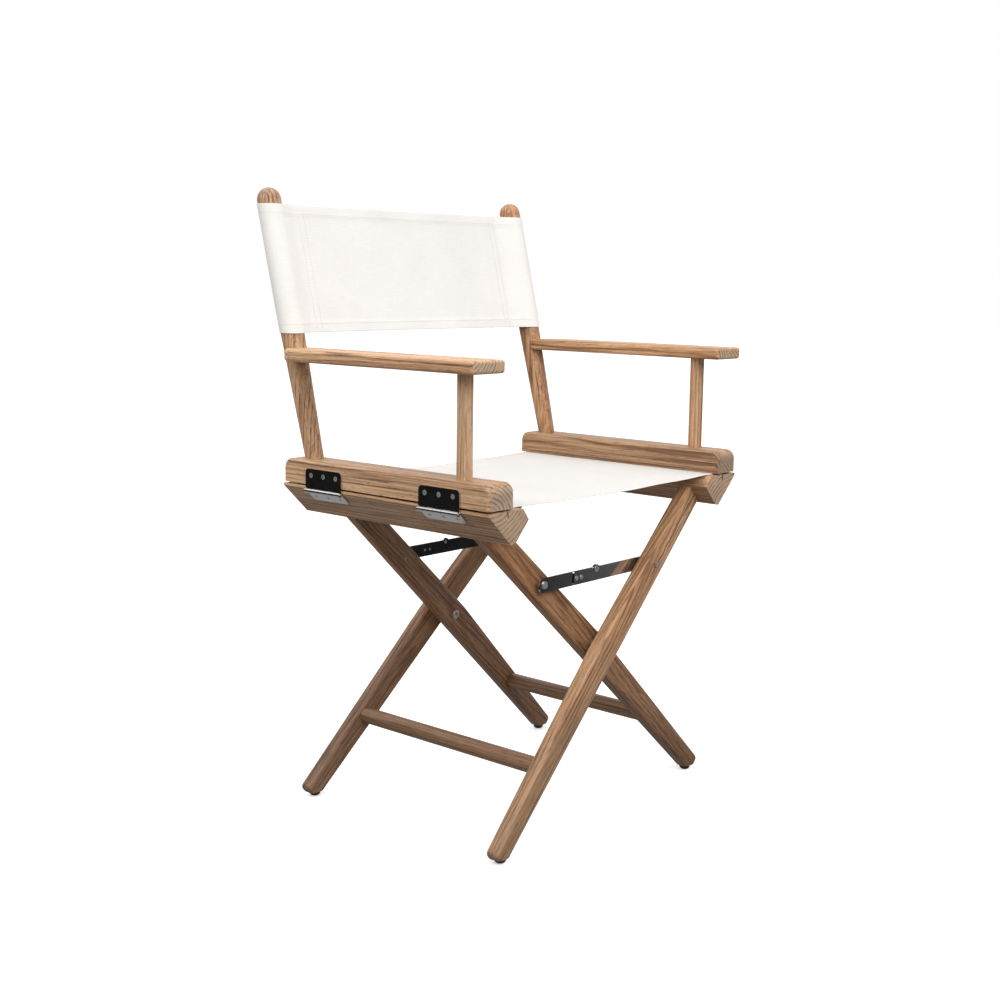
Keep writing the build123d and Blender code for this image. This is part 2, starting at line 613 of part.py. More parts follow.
def make_hinges():
    """Two hinges a side and their screws, six to a node."""
    hinges = {}
    for name, side in SIDES.items():
        upper_screws = []
        lower_screws = []
        for where, y_mid in HINGE_MIDS.items():
            upper, lower, pin = make_hinge(y_mid)
            hinges[f"hinge_upper_leaf_{name}_{where}"] = for_side(upper, side)
            hinges[f"hinge_lower_leaf_{name}_{where}"] = for_side(lower, side)
            hinges[f"hinge_pin_{name}_{where}"] = for_side(pin, side)
            for plane in upper_screw_planes(y_mid):
                upper_screws.append(for_side(screw(plane) - cross_recess(plane), side))
            for plane in lower_screw_planes(y_mid):
                lower_screws.append(for_side(screw(plane) - cross_recess(plane), side))
        hinges["hinge_upper_screws_" + name] = Compound(children=upper_screws)
        hinges["hinge_lower_screws_" + name] = Compound(children=lower_screws)
    return hinges


def make_canvas():
    """Plain solids for the sewn canvas: a flat seat, its two rods and a sleeved back."""
    seat_z = RAIL_TOP_Z + BASE_GAP / 2
    seat_length = SEAT_BACK_Y - SEAT_FRONT_Y
    seat = Pos(0, (SEAT_FRONT_Y + SEAT_BACK_Y) / 2, seat_z) * Box(
        2 * (GROOVE_X - 1), seat_length, CANVAS_THICKNESS
    )
    rod = rod_y(GROOVE_X, RAIL_TOP_Z - GROOVE_HOLE_DEPTH, SEAT_ROD_RADIUS, SEAT_FRONT_Y, SEAT_BACK_Y)
    band = Pos(0, 0, (BACK_TOP_Z + BACK_BOTTOM_Z) / 2) * Box(2000, 2000, BACK_TOP_Z - BACK_BOTTOM_Z)
    bore = post_sleeve(PART_GAP)
    sleeve = post_sleeve(PART_GAP + SLEEVE_WALL)
    lower = post_axis(BACK_BOTTOM_Z - 20)
    upper = post_axis(BACK_TOP_Z + 20)
    half = CANVAS_THICKNESS / 2
    web_side = Plane((0, 0, 0), x_dir=(0, 1, 0), z_dir=(1, 0, 0)) * make_face(
        Polyline(
            [
                (lower.Y - half, lower.Z),
                (lower.Y + half, lower.Z),
                (upper.Y + half, upper.Z),
                (upper.Y - half, upper.Z),
            ],
            close=True,
        )
    )
    web = extrude(web_side, BACK_POST_BASE[0])
    half_back = ((web + sleeve) - bore) & band
    back = half_back + mirror(half_back, Plane.YZ)
    return {
        "seat_canvas": seat,
        "seat_rod_left": rod,
        "seat_rod_right": for_side(rod, RIGHT),
        "back_canvas": back,
    }


def build():
    parts = {}
    for group in (
        make_legs(),
        make_rails(),
        make_stretchers(),
        make_pads(),
        make_pivots(),
        make_stays(),
        make_arms(),
        make_hinges(),
        make_canvas(),
    ):
        parts.update(group)
    return parts


os.makedirs("parts", exist_ok=True)
for node, shape in build().items():
    export_step(shape, f"parts/{node}.step")
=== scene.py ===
"""Looks of the folding director chair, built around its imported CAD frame."""

import math
import random

import bpy
from mathutils import Matrix, Vector


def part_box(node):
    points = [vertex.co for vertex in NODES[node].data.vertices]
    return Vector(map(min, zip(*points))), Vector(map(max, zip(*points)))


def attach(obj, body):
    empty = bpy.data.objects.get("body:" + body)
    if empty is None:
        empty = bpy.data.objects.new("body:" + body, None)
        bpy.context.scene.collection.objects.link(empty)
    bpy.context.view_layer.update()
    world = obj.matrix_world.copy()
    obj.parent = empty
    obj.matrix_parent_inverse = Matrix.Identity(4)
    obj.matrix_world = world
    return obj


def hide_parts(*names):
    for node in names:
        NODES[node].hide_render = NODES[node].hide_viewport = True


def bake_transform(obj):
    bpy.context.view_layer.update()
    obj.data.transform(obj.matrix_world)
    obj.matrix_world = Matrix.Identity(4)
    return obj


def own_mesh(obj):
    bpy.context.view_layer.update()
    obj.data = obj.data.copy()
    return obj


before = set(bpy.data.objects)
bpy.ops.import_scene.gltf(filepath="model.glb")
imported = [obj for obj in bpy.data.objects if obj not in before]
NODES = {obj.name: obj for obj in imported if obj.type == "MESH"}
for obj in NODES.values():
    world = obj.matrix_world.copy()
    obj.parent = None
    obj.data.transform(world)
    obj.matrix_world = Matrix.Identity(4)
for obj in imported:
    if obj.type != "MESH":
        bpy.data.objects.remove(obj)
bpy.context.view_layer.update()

MM = 0.001

# ---------------------------------------------------------------------------
# Camera
# ---------------------------------------------------------------------------

CAMERA_AZIMUTH = math.radians(-48.7013)
CAMERA_ELEVATION = math.radians(8.8252)
CAMERA_ROLL = math.radians(-0.7514)
CAMERA_DISTANCE = 2.0793664
CAMERA_LENS = 52.0497
CAMERA_TARGET = Vector((0, 0, 0.425))
CAMERA_SHIFT_RIGHT = 0.0005971
CAMERA_SHIFT_DOWN = 0.0073583
SENSOR_WIDTH = 36.0


def make_camera():
    """The viewpoint: three-quarter front view from just above seat height."""
    a, e, r = CAMERA_AZIMUTH, CAMERA_ELEVATION, CAMERA_ROLL
    back = Vector((math.sin(a) * math.cos(e), -math.cos(a) * math.cos(e), math.sin(e)))
    right = Vector((math.cos(a), math.sin(a), 0.0))
    up = back.cross(right)
    place = CAMERA_TARGET + back * CAMERA_DISTANCE + right * CAMERA_SHIFT_RIGHT - up * CAMERA_SHIFT_DOWN
    across = right * math.cos(r) - up * math.sin(r)
    above = right * math.sin(r) + up * math.cos(r)
    data = bpy.data.cameras.new("camera")
    data.lens = CAMERA_LENS
    data.sensor_width = SENSOR_WIDTH
    data.clip_start = 0.05
    data.clip_end = 50.0
    camera = bpy.data.objects.new("camera", data)
    bpy.context.scene.collection.objects.link(camera)
    turn = Matrix((across, above, back)).transposed().to_4x4()
    camera.matrix_world = Matrix.Translation(place) @ turn
    bpy.context.scene.camera = camera


# ---------------------------------------------------------------------------
# Node helper
# ---------------------------------------------------------------------------


class Graph:
    """A small builder for node trees."""

    def __init__(self, tree):
        self.tree = tree

    def add(self, kind, inputs=None, **settings):
        node = self.tree.nodes.new("ShaderNode" + kind)
        for key, value in settings.items():
            setattr(node, key, value)
        for key, value in (inputs or {}).items():
            self.put(node.inputs[key], value)
        return node

    def put(self, socket, value):
        if isinstance(value, bpy.types.NodeSocket):
            self.tree.links.new(value, socket)
        else:
            socket.default_value = value

    def math(self, operation, a, b=0.0):
        return self.add("Math", {0: a, 1: b}, operation=operation).outputs[0]

    def total(self, base, *terms):
        """base plus every term, a value and its weight."""
        for value, weight in terms:
            base = self.math("ADD", base, self.math("MULTIPLY", value, weight))
        return base

    def vector(self, operation, a, b=(0.0, 0.0, 0.0)):
        node = self.add("VectorMath", {0: a, 1: b}, operation=operation)
        return node.outputs["Value" if operation in ("DOT_PRODUCT", "LENGTH") else "Vector"]

    def noise(self, coordinate, stretch, detail=2.0, roughness=0.5, colour=False):
        spread = self.vector("MULTIPLY", coordinate, stretch)
        names = {"Vector": spread, "Scale": 1.0, "Detail": detail, "Roughness": roughness}
        return self.add("TexNoise", names).outputs["Color" if colour else "Fac"]

    def ramp(self, value, low, high):
        """0 at low, 1 at high, with soft ends. low may be the larger of the two."""
        names = {"Value": value, "From Min": low, "From Max": high}
        return self.add("MapRange", names, interpolation_type="SMOOTHSTEP").outputs["Result"]

    def colours(self, value, stops):
        """A colour ramp. Each stop is a position and its colour."""
        node = self.add("ValToRGB", {"Fac": value})
        band = node.color_ramp
        while len(band.elements) < len(stops):
            band.elements.new(0.5)
        for element, (place, colour) in zip(band.elements, stops):
            element.position = place
            element.color = (*colour, 1.0)
        return node.outputs["Color"]

    def mix(self, factor, a, b, blend="MIX"):
        node = self.add("Mix", data_type="RGBA", blend_type=blend)
        self.put(node.inputs[0], factor)
        for index, value in ((6, a), (7, b)):
            linked = isinstance(value, bpy.types.NodeSocket)
            self.put(node.inputs[index], value if linked else (*value, 1.0))
        return node.outputs[2]


def new_material(name):
    material = bpy.data.materials.new(name)
    material.use_nodes = True
    graph = Graph(material.node_tree)
    return material, graph, material.node_tree.nodes["Principled BSDF"]


def bumped(graph, shader, height, distance, strength=1.0):
    node = graph.add("Bump", {"Height": height, "Distance": distance, "Strength": strength})
    graph.put(shader.inputs["Normal"], node.outputs["Normal"])


# ---------------------------------------------------------------------------
# Timber
# ---------------------------------------------------------------------------

LEG_TURN = math.radians(47.4)
GRAIN_ALONG_Y = (math.radians(90), 0.0, 0.0)
GRAIN_ALONG_Z = (0.0, 0.0, 0.0)
GRAIN_LEG_A = (0.0, -LEG_TURN, 0.0)
GRAIN_LEG_B = (0.0, LEG_TURN, 0.0)

LIGHT_WOOD = (0.600, 0.385, 0.228)
MID_WOOD = (0.400, 0.228, 0.122)
DARK_WOOD = (0.215, 0.105, 0.050)
STREAK_WOOD = (0.075, 0.034, 0.017)
END_WOOD = (0.470, 0.330, 0.225)
END_DARK = (0.120, 0.078, 0.052)
RED_CAST = (1.00, 0.89, 0.76)
# Painted shade: legs and stretchers are darkened toward the floor, starting at 0.36 m and full at 0.04 m.
LOW_PAINTED_SHADE = (0.62, 0.64, 0.68)
LOW_SHADE_TOP = 0.36
LOW_SHADE_FULL = 0.04

# Noise waves per metre: across the grain, across it, along it.
WANDER = (9, 9, 1.9)
JITTER = (80, 80, 7)
UNEVEN = (85, 85, 0.7)
BROAD = (24, 24, 1.5)
FIBRE = (330, 330, 6.0)
GRIT = (1300, 1300, 40)
WARM = (30, 30, 1.1)
RIBBON = (75, 75, 0.8)
THIN = (230, 230, 1.6)
HAIR = (540, 540, 13)
PORE = (1150, 1150, 75)
HALF = (0.5, 0.5, 0.5)
WANDER_REACH = (0.022, 0.022, 0.0)
JITTER_REACH = (0.0045, 0.0045, 0.0)
FIRST_SEED = 11


def timber(node, rotation, heart, ring, tone, red, crack, seed):
    """Bare, sanded hardwood.

    heart is where the log's centre lies from the piece's own, and ring the spacing of its rings, in mm.
    tone scales the wood's colours, red is how strong its red cast and dark bands are, and crack is
    split_line's, or None.
    """
    draw = random.Random(seed)
    low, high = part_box(node)
    middle = (Vector(low) + Vector(high)) / 2
    if rotation[0]:
        turn = Matrix.Rotation(rotation[0], 4, "X")
    else:
        turn = Matrix.Rotation(rotation[1], 4, "Y")
    along_start = draw.uniform(-2, 2)
    start = Vector((heart[0] * MM, heart[1] * MM, along_start)) - turn @ middle

    def shade(colour):
        return [c * t for c, t in zip(colour, tone)]

    material, graph, shader = new_material("timber_" + node)
    coordinate = graph.add("TexCoord")
    placed = graph.add("Mapping", {
        "Vector": coordinate.outputs["Object"],
        "Location": tuple(start),
        "Rotation": rotation,
    }).outputs["Vector"]

    # The rings, bent by slow and quick noise
    wander = graph.vector("SUBTRACT", graph.noise(placed, WANDER, 2.0, colour=True), HALF)
    jitter = graph.vector("SUBTRACT", graph.noise(placed, JITTER, 2.0, colour=True), HALF)
    grown = graph.vector("ADD", placed, graph.vector("MULTIPLY", wander, WANDER_REACH))
    grown = graph.vector("ADD", grown, graph.vector("MULTIPLY", jitter, JITTER_REACH))
    rings = graph.add("TexWave", {
        "Vector": grown,
        "Scale": math.pi / 10 / (ring * MM),
        "Distortion": 0.0,
    }, wave_type="RINGS", rings_direction="Z", wave_profile="SIN").outputs["Fac"]
    uneven = graph.ramp(graph.noise(grown, UNEVEN, 1.0), 0.34, 0.62)
    late_wood = graph.math("MULTIPLY", graph.ramp(rings, 0.62, 1.0), uneven)

    # Colour along the grain
    broad = graph.noise(placed, BROAD, 2.0)
    fibre = graph.noise(placed, FIBRE, 4.0, 0.62)
    grit = graph.noise(placed, GRIT, 2.0)
    tint = graph.total(0.0, (broad, 0.60), (fibre, 0.82), (late_wood, -0.24), (grit, 0.26))
    stops = [(0.58, shade(DARK_WOOD)), (0.74, shade(MID_WOOD)), (0.94, shade(LIGHT_WOOD))]
    base = graph.colours(tint, stops)
    warm = graph.ramp(graph.noise(placed, WARM, 2.0), 0.42, 0.66)
    base = graph.mix(graph.math("MULTIPLY", warm, 0.75 * red), base, RED_CAST, "MULTIPLY")

    # Dark bands, lines, hairlines and pores
    band = graph.ramp(graph.noise(grown, RIBBON, 3.0, 0.6), 0.555, 0.70)
    thin = graph.ramp(graph.noise(grown, THIN, 3.0, 0.6), 0.575, 0.68)
    hair = graph.ramp(graph.noise(placed, HAIR, 3.0, 0.6), 0.575, 0.68)
    band = graph.math("MULTIPLY", band, 0.40 * red)
    streaks = graph.math("MAXIMUM", band, graph.math("MULTIPLY", thin, 0.68))
    streaks = graph.math("MAXIMUM", streaks, graph.math("MULTIPLY", hair, 0.62))
    base = graph.mix(streaks, base, shade(STREAK_WOOD))
    pore = graph.ramp(graph.noise(placed, PORE, 2.0), 0.60, 0.70)
    base = graph.mix(graph.math("MULTIPLY", pore, 0.60), base, shade(STREAK_WOOD))

    # Cut ends, where the surface faces along the grain
    along = (turn.transposed() @ Vector((0, 0, 1))).to_tuple()
    facing = graph.math("ABSOLUTE", graph.vector("DOT_PRODUCT", coordinate.outputs["Normal"], along))
    cut = graph.ramp(facing, 0.72, 0.94)
    end_ring = graph.math("MULTIPLY", graph.ramp(rings, 0.55, 1.0), graph.total(0.4, (uneven, 0.6)))
    end_tint = graph.total(0.0, (grit, 0.70), (broad, 0.35), (end_ring, -0.36))
    stops = [(0.05, shade(END_DARK)), (0.55, shade(END_WOOD))]
    base = graph.mix(cut, base, graph.colours(end_tint, stops))

    # Painted shade on legs and stretchers, darker toward the floor.
    if rotation[1] or node.startswith("stretcher"):
        rise = graph.add("SeparateXYZ", {0: coordinate.outputs["Object"]}).outputs["Z"]
        low_shade = graph.ramp(rise, LOW_SHADE_TOP, LOW_SHADE_FULL)
        base = graph.mix(low_shade, base, LOW_PAINTED_SHADE, "MULTIPLY")
    if crack:
        base = split_line(graph, placed, base, heart, along_start, crack)
    graph.put(shader.inputs["Base Color"], base)
    graph.put(shader.inputs["Roughness"], graph.total(0.36, (fibre, 0.26)))
    shader.inputs["Specular IOR Level"].default_value = 0.45
    height = graph.total(0.0, (fibre, 0.8), (late_wood, 0.15), (pore, -0.8), (streaks, -0.35))
    bumped(graph, shader, height, 0.0004, 0.8)
    paint(node, material)


SPLIT_WAVES = (4, 4, 30)
SPLIT_SWAY = 0.016
SPLIT_FADE = 25


def split_line(graph, placed, base, heart, along_start, crack):
    """A dark wavy line along the grain.

    crack is its offset across the piece and its two ends along it, in mm.
    """
    offset, low, high = crack
    parts = graph.add("SeparateXYZ", {0: placed}).outputs
    wave = graph.math("SUBTRACT", graph.noise(placed, SPLIT_WAVES, 2.0), 0.5)
    sway = graph.math("MULTIPLY", wave, SPLIT_SWAY)
    across = graph.math("SUBTRACT", parts["X"], (heart[0] + offset) * MM)
    across = graph.math("SUBTRACT", across, sway)
    line = graph.ramp(graph.math("ABSOLUTE", across), 0.0018, 0.0006)
    started = graph.ramp(parts["Z"], along_start + low * MM, along_start + (low + SPLIT_FADE) * MM)
    ended = graph.ramp(parts["Z"], along_start + high * MM, along_start + (high - SPLIT_FADE) * MM)
    line = graph.math("MULTIPLY", line, graph.math("MULTIPLY", started, ended))
    return graph.mix(graph.math("MULTIPLY", line, 0.85), base, STREAK_WOOD)


def paint(node, material):
    """Puts material on every slot of a CAD node."""
    for place in NODES[node].material_slots:
        place.material = material


TIMBERS = [
    # node, grain direction, heart of the log from the piece, ring spacing, tone (partly the piece's own
    # wood colour, partly painted shade and light: pieces in shade are set darker, lit ones lighter),
    # redness, split line
    ("arm_base_right", GRAIN_ALONG_Y, (30, -34), 5.6, (1.00, 1.00, 1.00), 0.5, None),
    ("arm_base_left", GRAIN_ALONG_Y, (-52, 34), 5.2, (0.76, 0.73, 0.68), 0.8, None),
    ("seat_rail_right", GRAIN_ALONG_Y, (30, 60), 5.8, (1.02, 1.00, 0.98), 0.5, None),
    ("seat_rail_left", GRAIN_ALONG_Y, (-40, -52), 6.0, (1.06, 1.00, 0.96), 0.7, None),
    ("arm_right", GRAIN_ALONG_Y, (50, 30), 5.2, (1.14, 1.13, 1.12), 0.5, None),
    ("arm_left", GRAIN_ALONG_Y, (-46, 32), 5.4, (1.10, 1.04, 0.94), 0.7, None),
    ("front_post_right", GRAIN_ALONG_Z, (28, 44), 4.6, (1.02, 1.04, 1.05), 0.3, None),
    ("front_post_left", GRAIN_ALONG_Z, (-34, 40), 4.8, (1.06, 1.04, 1.02), 0.6, None),
    ("back_post_right", GRAIN_ALONG_Z, (44, -26), 4.8, (0.90, 0.88, 0.85), 0.6, None),
    ("back_post_left", GRAIN_ALONG_Z, (-40, 44), 5.0, (0.92, 0.82, 0.72), 0.9, None),
    ("leg_a_front", GRAIN_LEG_A, (34, 38), 5.4, (0.98, 0.89, 0.80), 0.9, (1, 130, 300)),
    ("leg_a_rear", GRAIN_LEG_A, (-42, 34), 5.6, (0.76, 0.66, 0.58), 1.0, None),
    ("leg_b_front", GRAIN_LEG_B, (38, -40), 5.0, (0.68, 0.57, 0.47), 1.1, None),
    ("leg_b_rear", GRAIN_LEG_B, (-32, 44), 5.0, (0.64, 0.53, 0.45), 1.1, None),
    ("stretcher_a", GRAIN_ALONG_Y, (28, 24), 4.4, (0.62, 0.54, 0.47), 1.0, None),
    ("stretcher_b", GRAIN_ALONG_Y, (-26, 28), 4.4, (0.66, 0.58, 0.50), 1.0, None),
]


# ---------------------------------------------------------------------------
# Steel, rubber, rod and canvas
# ---------------------------------------------------------------------------


def make_steel(name, polish, smear):
    """Stainless steel with fine rubbing marks and smudges.

    polish is its lowest roughness and smear how much the smudges add.
    """
    material, graph, shader = new_material(name)
    place = graph.add("TexCoord").outputs["Object"]
    smudge = graph.noise(place, (70, 70, 70), 3.0)
    rubbed = graph.noise(place, (2600, 90, 2600), 2.0)
    crossed = graph.noise(place, (120, 2400, 900), 2.0)
    marks = graph.total(0.0, (rubbed, 0.6), (crossed, 0.4))
    tone = graph.colours(smudge, [(0.30, (0.57, 0.565, 0.56)), (0.70, (0.66, 0.655, 0.65))])
    graph.put(shader.inputs["Base Color"], tone)
    shader.inputs["Metallic"].default_value = 1.0
    graph.put(shader.inputs["Roughness"], graph.total(polish, (smudge, smear), (marks, 0.05)))
    bumped(graph, shader, marks, 0.00004, 0.5)
    return material


def make_rubber():
    """Matt black rubber, scuffed under the feet."""
    material, graph, shader = new_material("black_rubber")
    place = graph.add("TexCoord").outputs["Object"]
    scuff = graph.noise(place, (260, 260, 420), 4.0)
    grain = graph.noise(place, (2600, 2600, 2600), 2.0)
    tone = graph.colours(scuff, [(0.35, (0.010, 0.010, 0.010)), (0.75, (0.040, 0.038, 0.036))])
    graph.put(shader.inputs["Base Color"], tone)
    graph.put(shader.inputs["Roughness"], graph.total(0.55, (scuff, 0.35)))
    bumped(graph, shader, grain, 0.0002, 0.5)
    return material


def make_rod():
    """Drawn plastic rod with faint lengthwise die lines."""
    material, graph, shader = new_material("pale_rod")
    place = graph.add("TexCoord").outputs["Object"]
    drawn = graph.noise(place, (1800, 14, 1800), 2.0)
    tone = graph.colours(drawn, [(0.3, (0.62, 0.60, 0.55)), (0.7, (0.76, 0.74, 0.70))])
    graph.put(shader.inputs["Base Color"], tone)
    graph.put(shader.inputs["Roughness"], graph.total(0.38, (drawn, 0.2)))
    bumped(graph, shader, drawn, 0.0001, 0.6)
    return material


THREAD_PITCH = 0.00085
CANVAS_DARK = (0.770, 0.742, 0.705)
CANVAS_PALE = (0.900, 0.880, 0.852)


def make_canvas(name, tone):
    """Heavy plain weave, its colours scaled by tone.

    The cloth's own coordinates, in metres, are in the point attribute weave.
    """
    material, graph, shader = new_material(name)
    place = graph.add("Attribute", attribute_name="weave").outputs["Vector"]
    split = graph.add("SeparateXYZ", {0: place})
    turns = math.pi / THREAD_PITCH
    warp = graph.math("SINE", graph.math("MULTIPLY", split.outputs["X"], turns))
    weft = graph.math("SINE", graph.math("MULTIPLY", split.outputs["Y"], turns))
    crossing = graph.math("MULTIPLY", warp, weft)
    slub_weft = graph.noise(place, (45, 900, 900), 3.0)
    slub_warp = graph.noise(place, (900, 45, 900), 3.0)
    fuzz = graph.noise(place, (2600, 2600, 2600), 2.0)
    cloud = graph.noise(place, (13, 13, 13), 3.0)
    knots = graph.math("ABSOLUTE", crossing)
    shade = graph.total(0.0, (slub_weft, 0.40), (slub_warp, 0.30), (knots, 0.16), (cloud, 0.30))
    low = [c * tone for c in CANVAS_DARK]
    high = [c * tone for c in CANVAS_PALE]
    graph.put(shader.inputs["Base Color"], graph.colours(shade, [(0.30, low), (0.72, high)]))
    graph.put(shader.inputs["Roughness"], graph.total(0.82, (fuzz, 0.16)))
    shader.inputs["Specular IOR Level"].default_value = 0.18
    shader.inputs["Sheen Weight"].default_value = 0.10
    shader.inputs["Sheen Roughness"].default_value = 0.55
    height = graph.total(0.0, (crossing, 0.45), (slub_weft, 0.9), (slub_warp, 0.6), (fuzz, 0.25))
    bumped(graph, shader, height, 0.00025, 0.55)
    return material


def make_thread():
    """Twisted cotton sewing thread."""
    material, graph, shader = new_material("sewing_thread")
    place = graph.add("TexCoord").outputs["Object"]
    twist = graph.noise(place, (2200, 2200, 2200), 2.0)
    tone = graph.colours(twist, [(0.3, (0.50, 0.47, 0.42)), (0.7, (0.70, 0.67, 0.61))])
    graph.put(shader.inputs["Base Color"], tone)
    graph.put(shader.inputs["Roughness"], graph.total(0.7, (twist, 0.2)))
    bumped(graph, shader, twist, 0.0001, 0.6)
    return material


# ---------------------------------------------------------------------------
# Sheets of cloth and their stitches
# ---------------------------------------------------------------------------


TANGENT_STEP = 2e-5
END_COLUMN = 2e-4
FACES_APART = 0.3


def new_object(name, vertices, faces, material):
    mesh = bpy.data.meshes.new(name)
    mesh.from_pydata(vertices, [], faces)
    mesh.materials.append(material)
    for polygon in mesh.polygons:
        polygon.use_smooth = True
    mesh.update()
    piece = bpy.data.objects.new(name, mesh)
    bpy.context.scene.collection.objects.link(piece)
    return piece


def cloth(name, place, us, vs, thick, material, weave):
    """A closed sheet.

    place(u, v) is its middle surface, thick(u, v) its thickness, weave(u, v) its own coordinates.
    us and vs rise. Its first and last u end in flat caps, and a narrow column of faces beside each
    keeps the cap's shading off the rest.
    """
    step = TANGENT_STEP
    nudge = (us[-1] - us[0]) * END_COLUMN
    us = [us[0], us[0] + nudge, *us[1:-1], us[-1] - nudge, us[-1]]
    points = []
    marks = []
    for side in (1, -1):
        for u in us:
            for v in vs:
                middle = place(u, v)
                across = place(u + step, v) - place(u - step, v)
                along = place(u, v + step) - place(u, v - step)
                normal = across.cross(along).normalized()
                points.append(middle + normal * (side * thick(u, v) / 2))
                marks.append((*weave(u, v), FACES_APART * side))
    m, n = len(us), len(vs)
    far = m * n

    def at(i, j, side=0):
        return i * n + j + side * far

    faces = []
    for i in range(m - 1):
        for j in range(n - 1):
            faces.append((at(i, j), at(i + 1, j), at(i + 1, j + 1), at(i, j + 1)))
            faces.append((at(i, j, 1), at(i, j + 1, 1), at(i + 1, j + 1, 1), at(i + 1, j, 1)))
    for i in range(m - 1):
        faces.append((at(i, 0), at(i, 0, 1), at(i + 1, 0, 1), at(i + 1, 0)))
        faces.append((at(i, n - 1), at(i + 1, n - 1), at(i + 1, n - 1, 1), at(i, n - 1, 1)))
    ends = len(faces)
    for j in range(n - 1):
        faces.append((at(0, j), at(0, j + 1), at(0, j + 1, 1), at(0, j, 1)))
        faces.append((at(m - 1, j), at(m - 1, j, 1), at(m - 1, j + 1, 1), at(m - 1, j + 1)))
    piece = new_object(name, [tuple(p) for p in points], faces, material)
    for polygon in piece.data.polygons[ends:]:
        polygon.use_smooth = False
    attribute = piece.data.attributes.new("weave", "FLOAT_VECTOR", "POINT")
    attribute.data.foreach_set("vector", [c for mark in marks for c in mark])
    return piece


STITCH_LENGTH = 3.0 * MM
STITCH_PITCH = 4.2 * MM
STITCH_WIDTH = 0.75 * MM
STITCH_RISE = 0.22 * MM
# Along a stitch: how far, its share of the full width, its share of the full rise
STITCH_RINGS = [(0.0, 0.35, 0.0), (0.18, 1.0, 0.85), (0.5, 1.0, 1.0), (0.82, 1.0, 0.85), (1.0, 0.35, 0.0)]
STITCH_FOOT = -0.5
HEM_STITCH_IN = 2.2 * MM


def stitch_row(store, line, outward):
    """Adds a row of stitches along line, a list of points, to store, its vertices and faces.

    outward(k) is the way up at point k.
    """
    vertices, faces = store
    lengths = [0.0]
    for a, b in zip(line, line[1:]):
        lengths.append(lengths[-1] + (b - a).length)

    def locate(s):
        k = max(i for i in range(len(lengths) - 1) if lengths[i] <= s + 1e-9)
        span = lengths[k + 1] - lengths[k]
        t = (s - lengths[k]) / span if span else 0.0
        return line[k].lerp(line[k + 1], t), k

    s = STITCH_PITCH / 2
    while s + STITCH_LENGTH < lengths[-1]:
        start, k = locate(s)
        end, _ = locate(s + STITCH_LENGTH)
        up = outward(k).normalized()
        ahead = (end - start).normalized()
        side = ahead.cross(up).normalized() * (STITCH_WIDTH / 2)
        base = len(vertices)
        for t, wide, tall in STITCH_RINGS:
            centre = start.lerp(end, t)
            for across, rise in ((-1.0, STITCH_FOOT), (-0.6, tall), (0.6, tall), (1.0, STITCH_FOOT)):
                vertices.append(tuple(centre + side * (across * wide) + up * (STITCH_RISE * rise)))
        for ring in range(len(STITCH_RINGS) - 1):
            a, b = base + ring * 4, base + ring * 4 + 4
            for c in range(4):
                d = (c + 1) % 4
                faces.append((a + c, a + d, b + d, b + c))
        faces.append((base, base + 3, base + 2, base + 1))
        faces.append((base + 16, base + 17, base + 18, base + 19))
        s += STITCH_PITCH


def stitches(name, store, material):
    piece = new_object(name, store[0], store[1], material)
    return piece


def even(start, span, count):
    """count values from start to start + span."""
    return [start + span * k / (count - 1) for k in range(count)]


CLOSEST_STEP = 1.2e-4


def spaced(low, high, count, extra=()):
    """count + 1 even steps from low to high, with the values of extra added."""
    values = [low + (high - low) * k / count for k in range(count + 1)]
    values += [x for x in extra if low < x < high]
    values = sorted(values)
    kept = [values[0]]
    for x in values[1:]:
        if x - kept[-1] > CLOSEST_STEP:
            kept.append(x)
    kept[-1] = values[-1]
    return kept


def step_up(x, edge, width):
    """A soft step from 0 to 1, centred on edge and as wide as width."""
    t = min(1.0, max(0.0, (x - edge) / width + 0.5))
    return t * t * (3 - 2 * t)


def hem_steps(low, high, hem):
    """Extra rows where a hem ends and where an edge is rounded."""
    rows = []
    for d in (0.25 * MM, 0.6 * MM, 1.2 * MM, hem - 0.5 * MM, hem, hem + 0.5 * MM):
        rows += [low + d, high - d]
    return rows


def hem_thickness(x, low, high, hem, thin, thick):
    """Cloth thickness across a sheet whose two edges are turned under."""
    d = min(x - low, high - x)
    t = thick + (thin - thick) * step_up(d, hem, 0.8 * MM)
    return t * (0.45 + 0.55 * step_up(d, 0.35 * MM, 0.7 * MM))


# Seat: each half runs from the middle, over its rail, down the groove and round the rod.
SEAT_Y = (-213.0 * MM, 144.0 * MM)
SEAT_TOP = 455.55 * MM
SEAT_TAIL_Z = 454.62 * MM
GROOVE_X = 238.0 * MM
GROOVE_LAYER = 0.45 * MM
LOOP_Z = 447.2 * MM
LOOP_RADIUS = 3.0 * MM
RAIL_EDGE_X = 208.0 * MM
SEAT_SAG = 4.0 * MM
SEAT_HEM = 13.0 * MM
SEAT_TAIL = 24.0 * MM
SEAT_THIN = 0.62 * MM
SEAT_HEM_THICK = 1.02 * MM
SEAT_GROOVE_THICK = 0.66 * MM
LOOP_REACH = 6.5 * MM
LOOP_REACH_RUN = 12 * MM
TOP_STEP = 6
TOP_COLUMNS = 39


